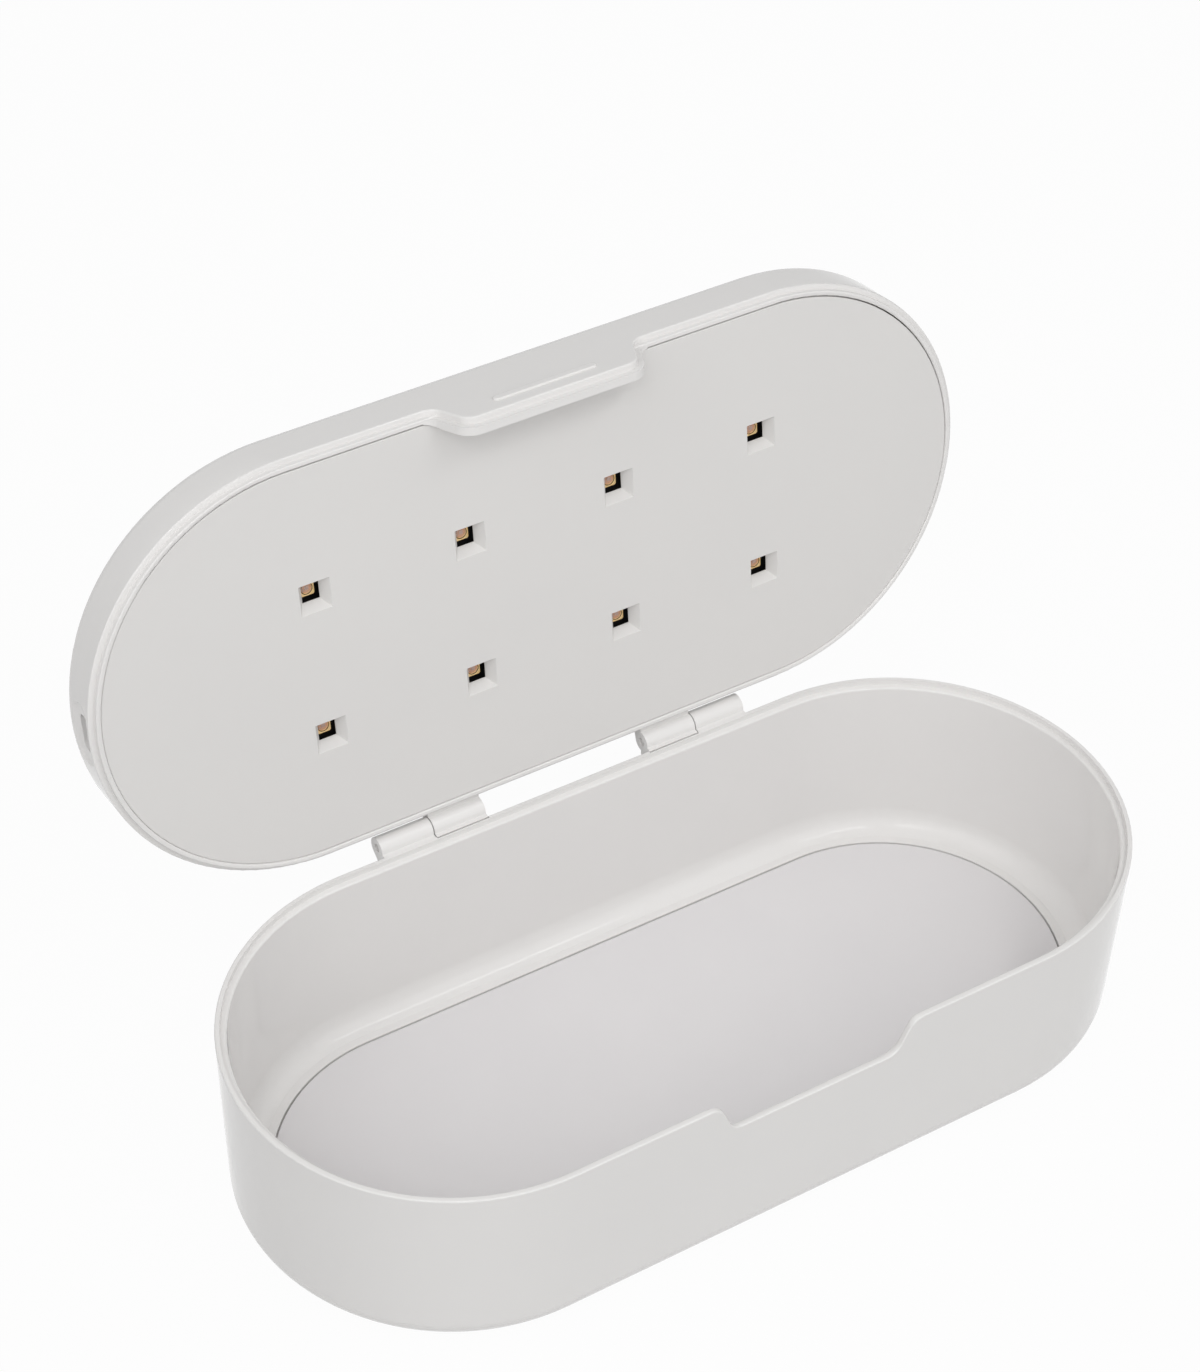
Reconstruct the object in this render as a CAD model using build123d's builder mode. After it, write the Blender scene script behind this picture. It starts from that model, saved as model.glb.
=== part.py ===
from build123d import *
from math import atan2, cos, degrees, radians, sin, tan
import os

# Sizes in millimetres. X runs along the box, +X to the right. Y runs from the finger tab
# at the front to the hinge at the back. The origin is the centre of the underside.

# The closed box
length = 220.0
width = 100.7
tray_height = 47.2
lid_height = 12.4
seam_gap = 0.15
open_angle = 98.0

# Tray
tray_wall = 2.55
tray_floor = 2.2
tray_draft = 1.2
tray_edge_radius = 6.4
tray_inner_radius = 6.0
rim_radius = 0.4
rim_band = 1.1
rim_step = 1.4
step_radius = 0.5

# Finger notch in the front of the rim, and the tab that fills it
notch_depth = 8.9
notch_top = 49.4
notch_bottom = 41.8
notch_radius = 3.8
tab_thickness = 3.5
tab_reach = 27.6
tab_land = 24.5
tab_side_gap = 0.45
tab_relief = 0.2
grip_length = 25.2
grip_width = 1.9
grip_height = 0.5
grip_drop = 4.8
grip_rounding = 0.35

# Floor plate and the land round it
plate_inset = 10.5
plate_gap = 0.45
plate_thickness = 1.2
plate_glue = 0.1
plate_edge = 0.2
land_width = 2.0
land_height = 0.25

# Hinges
hinge_setback = 3.3
hinge_rise = 0.1
knuckle_radius = 2.6
knuckle_length = 13.2
knuckle_gap = 0.3
hinge_centre = 35.0
pin_radius = 1.0
pin_recess = 0.4
pin_play = 0.04
pin_chamfer = 0.2
web_height = 3.6
relief_radius = 4.05
heel_radius = 3.68
heel_drop = 0.1
stop_gap = 0.05
stop_depth = 3.7

# Lid
lid_wall = 2.4
lid_top = 2.0
lid_draft = 0.7
lid_edge_radius = 3.6
lip_height = 1.35
lip_gap = 0.18
lip_rounding = 0.3

# Panel with the lamp windows
panel_recess = 0.3
panel_thickness = 1.8
panel_gap = 0.08
panel_settle = 0.16
panel_edge = 0.3
window_size = 4.2
window_edge = 0.2
flare_size = 7.4
flare_depth = 2.4
funnel_size = 6.6
lamp_columns = 4
lamp_rows = 2
lamp_pitch_x = 37.5
lamp_pitch_y = 35.2
lamp_shift_y = 1.25

# Lamps and their two strips
lamp_size = 3.5
lamp_height = 1.3
lamp_set_back = 1.6
lamp_chamfer = 0.3
well_depth = 0.35
well_gap = 0.1
dome_radius = 1.3
dome_height = 0.75
dome_rounding = 0.6
strip_length = 134.0
strip_width = 10.0
strip_thickness = 1.2
strip_boss_radius = 2.4

# Posts that hold the panel
post_radius = 1.5
post_length = 6.0
post_clearance = 0.03
post_tip = 0.4
post_boss_radius = 3.0
post_end_inset = 24.0
post_side_x = 45.0
post_side_y = 35.5

# Control board
board_length = 64.0
board_width = 16.0
board_thickness = 1.4
board_standoff = 2.4
board_setback = 1.5
board_boss_radius = 2.4
board_screw_inset = 3.4

# Bezel, key and light in the top of the lid
bezel_length = 30.0
bezel_width = 5.6
bezel_thickness = 1.2
bezel_proud = 0.1
bezel_radius = 1.2
bezel_gap = 0.05
bezel_y = 38.0
key_length = 11.0
key_width = 3.4
key_x = 7.0
key_gap = 0.2
key_proud = 0.4
key_rounding = 0.35
key_flange = 0.7
key_flange_thickness = 0.6
key_slack = 0.05
key_travel = 0.3
stem_radius = 1.4
light_x = -7.5
light_radius = 0.8
light_gap = 0.03
collar_radius = 1.5
collar_thickness = 0.6
light_lift = 0.4

# Parts on the control board
switch_size = 5.2
switch_height = 1.5
plunger_radius = 0.9
plunger_rise = 0.5
plunger_depth = 0.9
plunger_gap = 0.06
chip_size = 5.0
chip_height = 1.1
chip_x = 3.0
coil_size = 6.0
coil_height = 2.8
coil_x = 13.0
coil_rounding = 1.0
tilt_radius = 2.5
tilt_length = 11.0
tilt_x = -14.0
led_length = 2.0
led_width = 1.25
led_height = 0.8

# Screws
screw_radius = 1.0
screw_length = 3.2
screw_tip_gap = 0.2
screw_head_radius = 1.8
screw_head_height = 1.2
screw_play = 0.03
drive_width = 0.5
drive_length = 2.2
drive_depth = 0.6

# Power inlet in the left end of the lid
inlet_height = 4.6
scoop_length = 17.0
scoop_width = 7.4
scoop_depth = 1.1
scoop_taper = 50.0
scoop_rounding = 0.5
inlet_block_width = 19.0
inlet_block_depth = 5.4
socket_width = 8.9
socket_height = 3.2
socket_depth = 7.4
socket_shell = 0.3
socket_gap = 0.1
socket_set_back = 0.9
socket_back = 1.5
tongue_width = 6.6
tongue_height = 0.7
tongue_set_back = 0.5
inlet_board_length = 13.0
inlet_board_width = 14.0
inlet_board_thickness = 1.0
inlet_board_gap = 0.3
inlet_screw_inset = 3.0
inlet_screw_spread = 10.0

# Wires inside the lid
wire_radius = 0.5
wire_pitch = 2.0
wire_edge = 0.8
wire_bend = 6.0
wire_step = 1.0
wire_lead = 10.0
wire_run = 24.0
supply_x = -8.0
link_x = 8.0

outer_y = width / 2
hinge_y = outer_y + hinge_setback
hinge_z = tray_height + hinge_rise

# The lid is made where it stands, swung back about the hinge axis. lid_rim lies on its rim
# and faces its top, lid_front faces out of its front wall and lid_side along the hinge.
turn = radians(open_angle)
lid_back = Vector(0, cos(turn), -sin(turn))
lid_up = Vector(0, sin(turn), cos(turn))
lid_origin = Vector(0, hinge_y, hinge_z) - lid_back * hinge_y + lid_up * (seam_gap - hinge_rise)
lid_rim = Plane(origin=lid_origin, x_dir=(1, 0, 0), z_dir=lid_up)
lid_front = Plane(origin=lid_origin - lid_back * outer_y, x_dir=(1, 0, 0), z_dir=-lid_back)
lid_side = Plane(origin=lid_origin, x_dir=lid_back, z_dir=(1, 0, 0))
lid_axis = Axis(lid_origin, lid_up)
lid_depth = Axis(lid_origin, lid_back)
tray_front = Plane(origin=(0, -outer_y, tray_height), x_dir=(1, 0, 0), z_dir=(0, -1, 0))

# Heights above the lid's rim
ceiling = lid_height - lid_top
panel_face = panel_recess - lip_height
panel_back = panel_face + panel_thickness
window_back = panel_face + flare_depth
funnel_back = window_back + window_edge
lamp_front = funnel_back + lamp_set_back
strip_face = lamp_front + lamp_height
strip_back = strip_face + strip_thickness
board_top = ceiling - board_standoff
board_back = board_top - board_thickness
bezel_face = lid_height + bezel_proud
bezel_back = bezel_face - bezel_thickness
flange_top = bezel_back - key_slack
flange_back = flange_top - key_flange_thickness
switch_top = board_top + switch_height
plunger_top = switch_top + plunger_rise
inlet_board_face = inlet_height + socket_height / 2
inlet_board_back = inlet_board_face + inlet_board_thickness
hinge_h = hinge_rise - seam_gap

# Places across the lid
board_y = bezel_y - board_setback
board_front = board_y - board_width / 2
rear_row = lamp_shift_y + lamp_pitch_y * (lamp_rows - 1) / 2
front_row = lamp_shift_y - lamp_pitch_y * (lamp_rows - 1) / 2
inlet_board_start = inlet_block_depth + inlet_board_gap - length / 2
inlet_board_end = inlet_board_start + inlet_board_length

# Insets from the outline of the rim
lip_inset = rim_band + lip_gap
panel_inset = lid_wall + panel_gap
tab_step = rim_band + tab_side_gap
pocket_inset = plate_inset - plate_gap

slope = atan2(notch_depth, (notch_top - notch_bottom) / 2)
tray_knuckle_x = hinge_centre + (knuckle_length + knuckle_gap) / 2
lid_knuckle_x = hinge_centre - (knuckle_length + knuckle_gap) / 2
notch_reach = tray_wall + tray_height * tan(radians(tray_draft))

post_end_x = length / 2 - post_end_inset
post_places = [(-post_end_x, 0), (post_end_x, 0)]
post_places += [(x, y) for x in (-post_side_x, post_side_x) for y in (-post_side_y, post_side_y)]
strip_screw_places = [(lamp_pitch_x * k, y) for y in (rear_row, front_row) for k in (-1, 0, 1)]
board_screw_x = board_length / 2 - board_screw_inset
board_screw_y = board_width / 2 - board_screw_inset
board_screw_places = [
    (x, board_y + y) for x in (-board_screw_x, board_screw_x) for y in (-board_screw_y, board_screw_y)
]
inlet_screw_x = inlet_board_end - inlet_screw_inset
inlet_screw_places = [(inlet_screw_x, y) for y in (-inlet_screw_spread / 2, inlet_screw_spread / 2)]


def outline(inset):
    # the box's stadium plan, drawn in by inset
    SlotOverall(length - 2 * inset, width - 2 * inset)


def rim_line(drop, reach, height, datum):
    # area above the rim's line across the front, a line drop below that of the tray's rim
    shift = drop * tan(slope / 2)
    top = notch_top / 2 + shift
    bottom = notch_bottom / 2 + shift
    start = (-reach, datum - drop)
    end = (reach, datum - drop)
    low = datum - drop - notch_depth
    corners = [(-top, datum - drop), (-bottom, low), (bottom, low), (top, datum - drop)]
    radii = [notch_radius - drop, notch_radius + drop, notch_radius + drop, notch_radius - drop]
    with BuildLine() as line:
        FilletPolyline(start, *corners, end, radius=radii)
        Polyline(end, (reach, height), (-reach, height), start)
    make_face(line.edges())


def tab_plan(relief):
    # plan of the lid's front where it thickens behind the tab, grown by relief
    side = tab_reach + relief
    land = tab_land + relief
    wall = lid_wall + relief - outer_y
    back = tab_thickness + relief - outer_y
    corners = [(-side, -outer_y), (-side, wall), (-land, back), (land, back), (side, wall), (side, -outer_y)]
    with BuildLine() as line:
        Polyline(*corners, close=True)
    make_face(line.edges())


def screws(seat, places, way):
    # screws with their heads on a face of the lid's inside; way is 1 where they point at the panel
    with BuildPart() as group:
        with BuildSketch(lid_rim.offset(seat)):
            with Locations(*places):
                Circle(screw_head_radius)
        extrude(amount=way * screw_head_height)
        with BuildSketch(lid_rim.offset(seat)):
            with Locations(*places):
                Circle(screw_radius)
        extrude(amount=-way * screw_length)
        with BuildSketch(lid_rim.offset(seat + way * screw_head_height)):
            with Locations(*places):
                Rectangle(drive_length, drive_width)
                Rectangle(drive_width, drive_length)
        extrude(amount=-way * drive_depth, mode=Mode.SUBTRACT)
    return group


def board(face, thickness, plan_length, plan_width, centre, places):
    # circuit board with its holes, face up from the lid's rim
    with BuildPart() as sheet:
        with BuildSketch(lid_rim.offset(face)):
            with Locations(centre):
                RectangleRounded(plan_length, plan_width, wire_edge)
            with Locations(*places):
                Circle(screw_radius + screw_play, mode=Mode.SUBTRACT)
        extrude(amount=thickness)
    return sheet


def wires(routes, bend):
    # round wires along routes given as points across and above the lid's rim
    with BuildPart() as bundle:
        for route in routes:
            with BuildLine(lid_rim) as path:
                FilletPolyline(*route, radius=bend)
            with BuildSketch(Plane(origin=path.line @ 0, z_dir=path.line % 0)):
                Circle(wire_radius)
            sweep(path=path.line)
    return bundle


# Tray
with BuildPart() as tray_cavity:
    with BuildSketch(Plane.XY.offset(tray_height)):
        outline(tray_wall)
    extrude(amount=-(tray_height - tray_floor), taper=tray_draft)
    fillet(tray_cavity.faces().sort_by(Axis.Z)[0].edges(), tray_inner_radius)

with BuildPart() as notch_rebate:
    with BuildSketch(tray_front):
        rim_line(rim_step, notch_top, 0.0, 0.0)
    extrude(amount=-notch_reach)
    with BuildSketch(Plane.XY):
        outline(rim_band)
    extrude(amount=tray_height, mode=Mode.INTERSECT)

with BuildPart() as tray_shell:
    with BuildSketch(Plane.XY.offset(tray_height)):
        outline(0)
    extrude(amount=-tray_height, taper=tray_draft)
    fillet(tray_shell.faces().sort_by(Axis.Z)[0].edges(), tray_edge_radius)
    # finger notch, and the rounding that runs round the rim and down along it
    with BuildSketch(tray_front):
        rim_line(0.0, notch_top, 1.0, 0.0)
    extrude(amount=-notch_reach, mode=Mode.SUBTRACT)
    rim = tray_shell.edges().filter_by_position(Axis.Z, tray_height - notch_depth - 0.01, tray_height)
    rim_front = rim.filter_by_position(Axis.Y, -outer_y - 1.0, -outer_y + 0.3)
    rim_rest = rim.filter_by_position(Axis.Z, tray_height - 0.01, tray_height)
    rim_rest = rim_rest.filter_by_position(Axis.Y, -1.0, outer_y)
    fillet(rim_front + rim_rest, rim_radius)
    add(tray_cavity.part, mode=Mode.SUBTRACT)
    # step inside the rim that the lid's lip drops into, carried down along the notch
    with BuildSketch(Plane.XY.offset(tray_height - rim_step)):
        outline(rim_band)
    extrude(amount=rim_step, mode=Mode.SUBTRACT)
    add(notch_rebate.part, mode=Mode.SUBTRACT)
    ledge = tray_height - rim_step
    inner_y = outer_y - tray_wall
    step = tray_shell.edges().filter_by_position(Axis.Z, ledge - notch_depth - 0.01, ledge + 0.01)
    step = step.filter_by_position(Axis.X, tray_wall - length / 2 - 0.1, length / 2 - tray_wall + 0.1)
    step_front = step.filter_by_position(Axis.Y, -inner_y - 0.05, -inner_y + 0.4)
    step_rest = step.filter_by_position(Axis.Z, ledge - 0.01, ledge + 0.01)
    step_rest = step_rest.filter_by_position(Axis.Y, -1.0, inner_y)
    fillet(step_front + step_rest, step_radius)
    # land and pocket for the floor plate
    with BuildSketch(Plane.XY.offset(tray_floor)):
        outline(pocket_inset - land_width)
    extrude(amount=land_height)
    with BuildSketch(Plane.XY.offset(tray_floor + land_height)):
        outline(pocket_inset)
    extrude(amount=-(plate_thickness + plate_glue), mode=Mode.SUBTRACT)
    # outer knuckle of each hinge, on a web from the back wall
    web_y = hinge_y + knuckle_radius * sin(radians(45))
    web_z = hinge_z - knuckle_radius * cos(radians(45))
    for side in (-1, 1):
        with BuildSketch(Plane.YZ.offset(side * tray_knuckle_x)):
            with Locations((hinge_y, hinge_z)):
                Circle(knuckle_radius)
            with BuildLine():
                Polyline(
                    (outer_y - rim_band, tray_height),
                    (hinge_y, tray_height),
                    (web_y, web_z),
                    (outer_y - rim_band, tray_height - web_height - hinge_setback),
                    close=True,
                )
            make_face()
        extrude(amount=knuckle_length / 2, both=True)
        with BuildSketch(Plane.YZ.offset(side * tray_knuckle_x)):
            with Locations((hinge_y, hinge_z)):
                Circle(pin_radius + pin_play / 2)
        extrude(amount=knuckle_length, both=True, mode=Mode.SUBTRACT)
        # relief in the back of the rim, in which the heel of the lid's knuckle swings
        with BuildSketch(Plane.YZ.offset(side * lid_knuckle_x)):
            with Locations((hinge_y, hinge_z)):
                Circle(relief_radius)
        extrude(amount=(knuckle_length + knuckle_gap) / 2, both=True, mode=Mode.SUBTRACT)

with BuildPart() as floor_plate:
    with BuildSketch(Plane.XY.offset(tray_floor + land_height)):
        outline(plate_inset)
    extrude(amount=-plate_thickness)
    fillet(floor_plate.faces().sort_by(Axis.Z)[-1].edges(), plate_edge)

# Hinge pins, one through both knuckles of each hinge
pins = []
for side in (-1, 1):
    with BuildPart() as pin:
        with BuildSketch(Plane.YZ.offset(side * hinge_centre)):
            with Locations((hinge_y, hinge_z)):
                Circle(pin_radius)
        extrude(amount=knuckle_length + knuckle_gap / 2 - pin_recess, both=True)
        chamfer(pin.edges().filter_by(GeomType.CIRCLE), pin_chamfer)
    pins.append(pin)
hinge_pin_left, hinge_pin_right = pins

# Lid shell
with BuildPart() as lid_cavity:
    with BuildSketch(lid_rim.offset(-lip_height)):
        outline(lid_wall)
    extrude(amount=lip_height + ceiling, taper=lid_draft)
    fillet(lid_cavity.faces().sort_by(lid_axis)[-1].edges(), lid_edge_radius - lid_top)

with BuildPart() as tab_outer:
    # slice of the lid's sloping front wall, carried down to fill the notch
    with BuildSketch(lid_rim.offset(-notch_depth)):
        outline(-notch_depth * tan(radians(lid_draft)))
    extrude(amount=notch_depth + lip_height, taper=lid_draft)
    with BuildSketch(lid_front.offset(1.0)):
        rim_line(-seam_gap, tab_reach, lip_height, -seam_gap)
    extrude(amount=-(1.0 + tab_step), mode=Mode.INTERSECT)

with BuildPart() as tab_inner:
    # layer behind it, which carries the lip down round the tab and thins to the lid's wall beside it
    with BuildSketch(lid_front.offset(-tab_step)):
        rim_line(lip_height - seam_gap, tab_reach, panel_back, -seam_gap)
    extrude(amount=-(tab_thickness - tab_step))
    with BuildSketch(lid_rim.offset(panel_back)):
        tab_plan(0.0)
    extrude(amount=-(notch_depth + 2 * lip_height), mode=Mode.INTERSECT)

with BuildPart() as grip_ridge:
    with BuildSketch(lid_front.offset(-tab_relief)):
        with Locations((0, -grip_drop)):
            SlotOverall(grip_length, grip_width)
    extrude(amount=grip_height + tab_relief)
    fillet(grip_ridge.faces().sort_by(lid_depth)[0].edges(), grip_rounding)

with BuildPart() as lid_lip:
    with BuildSketch(lid_rim.offset(rim_radius)):
        outline(lip_inset)
    extrude(amount=-(lip_height + rim_radius))
    add(lid_cavity.part, mode=Mode.SUBTRACT)
    fillet(lid_lip.faces().sort_by(lid_axis)[0].edges(), lip_rounding)

inlet_plane = Plane(
    origin=lid_rim.from_local_coords((-length / 2, 0, inlet_height)), x_dir=-lid_back, z_dir=(-1, 0, 0)
)
ceiling_plane = lid_rim.offset(ceiling)

with BuildPart() as lid_shell:
    with BuildSketch(lid_rim):
        outline(0)
    extrude(amount=lid_height, taper=lid_draft)
    fillet(lid_shell.faces().sort_by(lid_axis)[-1].edges(), lid_edge_radius)
    add(tab_outer.part)
    edge = lid_shell.edges().filter_by_position(lid_axis, -notch_depth - 0.01, 0.01)
    edge_front = edge.filter_by_position(lid_depth, -outer_y - 1.0, -outer_y + 0.2)
    edge_rest = edge.filter_by_position(lid_depth, -1.0, outer_y + 1.0)
    fillet(edge_front + edge_rest, rim_radius)
    # lip inside the seam, then the tab's inner layer and its grip ridge
    add(lid_lip.part)
    add(lid_cavity.part, mode=Mode.SUBTRACT)
    add(tab_inner.part)
    add(grip_ridge.part)
    # inner knuckle of each hinge, on a web from the back wall
    web_y = hinge_y + knuckle_radius * sin(radians(30))
    web_h = hinge_h + knuckle_radius * cos(radians(30))
    for side in (-1, 1):
        with BuildSketch(lid_side.offset(side * lid_knuckle_x)):
            with Locations((hinge_y, hinge_h)):
                Circle(knuckle_radius)
            with BuildLine():
                Polyline(
                    (outer_y - rim_band, seam_gap),
                    (hinge_y, seam_gap),
                    (web_y, web_h),
                    (outer_y - rim_band, web_height),
                    close=True,
                )
            make_face()
        extrude(amount=knuckle_length / 2, both=True)
        # heel in the tray's relief, and below it the stop that meets the back wall when open
        with BuildSketch(Plane.YZ.offset(side * lid_knuckle_x)):
            with Locations((hinge_y, hinge_z)):
                Circle(heel_radius)
            with Locations((hinge_y, hinge_z - heel_drop)):
                Rectangle(heel_radius, heel_radius, align=(Align.MAX, Align.MAX), mode=Mode.INTERSECT)
            with Locations((hinge_y, hinge_z)):
                Rectangle(hinge_setback - stop_gap, stop_depth, align=(Align.MAX, Align.MAX))
        extrude(amount=knuckle_length / 2, both=True)
        with BuildSketch(lid_side.offset(side * lid_knuckle_x)):
            with Locations((hinge_y, hinge_h)):
                Circle(pin_radius + pin_play)
        extrude(amount=knuckle_length, both=True, mode=Mode.SUBTRACT)
    # bosses under the ceiling for the panel's posts and for the two boards
    with BuildSketch(ceiling_plane):
        with Locations(*post_places):
            Circle(post_boss_radius)
    extrude(amount=-(ceiling - panel_back))
    with BuildSketch(ceiling_plane):
        with Locations(*board_screw_places):
            Circle(board_boss_radius)
    extrude(amount=-board_standoff)
    with BuildSketch(ceiling_plane):
        with Locations(*inlet_screw_places):
            Circle(board_boss_radius)
    extrude(amount=-(ceiling - inlet_board_back))
    with BuildSketch(lid_rim.offset(panel_back)):
        with Locations(*post_places):
            Circle(post_radius + post_clearance)
    extrude(amount=post_length + post_tip, mode=Mode.SUBTRACT)
    with BuildSketch(lid_rim.offset(board_back)):
        with Locations(*board_screw_places):
            Circle(screw_radius + screw_play)
    extrude(amount=screw_length + screw_tip_gap, mode=Mode.SUBTRACT)
    with BuildSketch(lid_rim.offset(inlet_board_face)):
        with Locations(*inlet_screw_places):
            Circle(screw_radius + screw_play)
    extrude(amount=screw_length + screw_tip_gap, mode=Mode.SUBTRACT)
    # thick block behind the power inlet, with its scoop and the opening for the socket
    with BuildSketch(inlet_plane.offset(-inlet_block_depth)):
        with Locations((0, (panel_back + ceiling) / 2 - inlet_height)):
            Rectangle(inlet_block_width, ceiling - panel_back)
    extrude(until=Until.NEXT)
    with BuildSketch(inlet_plane):
        SlotOverall(scoop_length, scoop_width)
    extrude(amount=-scoop_depth, taper=scoop_taper, mode=Mode.SUBTRACT)
    reach_y = scoop_length / 2 + 0.1
    reach_h = scoop_width / 2 + 0.1
    mouth = lid_shell.edges().filter_by_position(Axis.X, -length / 2 - 0.1, -length / 2 + scoop_depth / 2)
    mouth = mouth.filter_by_position(lid_depth, -reach_y, reach_y)
    mouth = mouth.filter_by_position(lid_axis, inlet_height - reach_h, inlet_height + reach_h)
    fillet(mouth, scoop_rounding)
    with BuildSketch(inlet_plane.offset(-scoop_depth)):
        SlotOverall(socket_width + 2 * socket_gap, socket_height + 2 * socket_gap)
    extrude(amount=-inlet_block_depth, mode=Mode.SUBTRACT)
    # pocket for the bezel, with the key's opening and the light's hole through its floor
    with BuildSketch(lid_rim.offset(bezel_back)):
        with Locations((0, bezel_y)):
            RectangleRounded(bezel_length + 2 * bezel_gap, bezel_width + 2 * bezel_gap, bezel_radius)
    extrude(amount=bezel_thickness, mode=Mode.SUBTRACT)
    with BuildSketch(ceiling_plane):
        with Locations((key_x, bezel_y)):
            SlotOverall(key_length + 2 * (key_flange + key_gap), key_width + 2 * (key_flange + key_gap))
        with Locations((light_x, bezel_y)):
            Circle(light_radius + light_gap)
    extrude(amount=lid_top, mode=Mode.SUBTRACT)

# Panel
with BuildPart() as led_panel:
    with BuildSketch(lid_rim.offset(panel_face)):
        with Locations((0, panel_settle)):
            SlotOverall(length - 2 * panel_inset, width - 2 * (panel_inset + panel_settle))
    extrude(amount=panel_thickness)
    fillet(led_panel.faces().sort_by(lid_axis)[0].edges(), panel_edge)
    # relief round the back of the tab
    with BuildSketch(lid_rim.offset(panel_face)):
        tab_plan(tab_relief)
    extrude(amount=panel_thickness, mode=Mode.SUBTRACT)
    # funnel and window in front of each lamp
    with BuildSketch(lid_rim.offset(panel_back)):
        with Locations((0, lamp_shift_y)):
            with GridLocations(lamp_pitch_x, lamp_pitch_y, lamp_columns, lamp_rows):
                Rectangle(funnel_size, funnel_size)
    extrude(amount=funnel_back - panel_back)
    with BuildSketch(lid_rim.offset(panel_face)):
        with Locations((0, lamp_shift_y)):
            with GridLocations(lamp_pitch_x, lamp_pitch_y, lamp_columns, lamp_rows):
                Rectangle(flare_size, flare_size)
    extrude(
        amount=flare_depth,
        taper=degrees(atan2((flare_size - window_size) / 2, flare_depth)),
        mode=Mode.SUBTRACT,
    )
    with BuildSketch(lid_rim.offset(window_back)):
        with Locations((0, lamp_shift_y)):
            with GridLocations(lamp_pitch_x, lamp_pitch_y, lamp_columns, lamp_rows):
                Rectangle(window_size, window_size)
    extrude(amount=window_edge, mode=Mode.SUBTRACT)
    # posts into the lid, and bosses under the strips
    with BuildSketch(lid_rim.offset(panel_back)):
        with Locations(*post_places):
            Circle(post_radius)
    extrude(amount=post_length)
    chamfer(led_panel.faces().sort_by(lid_axis)[-len(post_places):].edges(), post_tip)
    with BuildSketch(lid_rim.offset(panel_back)):
        with Locations(*strip_screw_places):
            Circle(strip_boss_radius)
    extrude(amount=strip_face - panel_back)
    with BuildSketch(lid_rim.offset(strip_back)):
        with Locations(*strip_screw_places):
            Circle(screw_radius + screw_play)
    extrude(amount=-(screw_length + screw_tip_gap), mode=Mode.SUBTRACT)

# Lamps, numbered from the front left
lamps = {}
lamp_places = [
    (lamp_pitch_x * (column - (lamp_columns - 1) / 2), row_y)
    for row_y in (front_row, rear_row)
    for column in range(lamp_columns)
]
for number, (lamp_x, lamp_y) in enumerate(lamp_places, start=1):
    with BuildPart() as package:
        with BuildSketch(lid_rim.offset(lamp_front)):
            with Locations((lamp_x, lamp_y)):
                Rectangle(lamp_size, lamp_size)
        extrude(amount=lamp_height)
        chamfer(package.edges().filter_by(lid_axis), lamp_chamfer)
        with BuildSketch(lid_rim.offset(lamp_front)):
            with Locations((lamp_x, lamp_y)):
                Circle(dome_radius + well_gap)
        extrude(amount=well_depth, mode=Mode.SUBTRACT)
    with BuildPart() as dome:
        with BuildSketch(lid_rim.offset(lamp_front + well_depth)):
            with Locations((lamp_x, lamp_y)):
                Circle(dome_radius)
        extrude(amount=-dome_height)
        fillet(dome.faces().sort_by(lid_axis)[0].edges(), dome_rounding)
    lamps[f"led_package_{number}"] = package
    lamps[f"led_dome_{number}"] = dome

strip_places = [place for place in strip_screw_places if place[1] == front_row]
led_strip_front = board(strip_face, strip_thickness, strip_length, strip_width, (0, front_row), strip_places)
strip_places = [place for place in strip_screw_places if place[1] == rear_row]
led_strip_rear = board(strip_face, strip_thickness, strip_length, strip_width, (0, rear_row), strip_places)
strip_screws = screws(strip_back, strip_screw_places, 1)

# Control board and what it carries
control_board = board(
    board_back,
    board_thickness,
    board_length,
    board_width,
    (0, board_y),
    board_screw_places,
)
board_screws = screws(board_back, board_screw_places, -1)

with BuildPart() as driver_chip:
    with BuildSketch(lid_rim.offset(board_back)):
        with Locations((chip_x, board_y)):
            Rectangle(chip_size, chip_size)
    extrude(amount=-chip_height)

with BuildPart() as inductor:
    with BuildSketch(lid_rim.offset(board_back)):
        with Locations((coil_x, board_y)):
            RectangleRounded(coil_size, coil_size, coil_rounding)
    extrude(amount=-coil_height)

with BuildPart() as tilt_switch:
    with BuildSketch(lid_side.offset(tilt_x)):
        with Locations((board_y, board_back - tilt_radius)):
            Circle(tilt_radius)
    extrude(amount=tilt_length / 2, both=True)

with BuildPart() as indicator_led:
    with BuildSketch(lid_rim.offset(board_top)):
        with Locations((light_x, bezel_y)):
            Rectangle(led_length, led_width)
    extrude(amount=led_height)

with BuildPart() as switch_body:
    with BuildSketch(lid_rim.offset(board_top)):
        with Locations((key_x, bezel_y)):
            Rectangle(switch_size, switch_size)
    extrude(amount=switch_height)
    with BuildSketch(lid_rim.offset(switch_top)):
        with Locations((key_x, bezel_y)):
            Circle(plunger_radius + plunger_gap)
    extrude(amount=-(plunger_depth + key_travel + screw_tip_gap / 2), mode=Mode.SUBTRACT)

with BuildPart() as switch_plunger:
    with BuildSketch(lid_rim.offset(plunger_top)):
        with Locations((key_x, bezel_y)):
            Circle(plunger_radius)
    extrude(amount=-(plunger_rise + plunger_depth))

# Bezel, key and light
with BuildPart() as control_bezel:
    with BuildSketch(lid_rim.offset(bezel_back)):
        with Locations((0, bezel_y)):
            RectangleRounded(bezel_length, bezel_width, bezel_radius)
        with Locations((key_x, bezel_y)):
            SlotOverall(key_length + 2 * key_gap, key_width + 2 * key_gap, mode=Mode.SUBTRACT)
        with Locations((light_x, bezel_y)):
            Circle(light_radius + light_gap, mode=Mode.SUBTRACT)
    extrude(amount=bezel_thickness)

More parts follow.
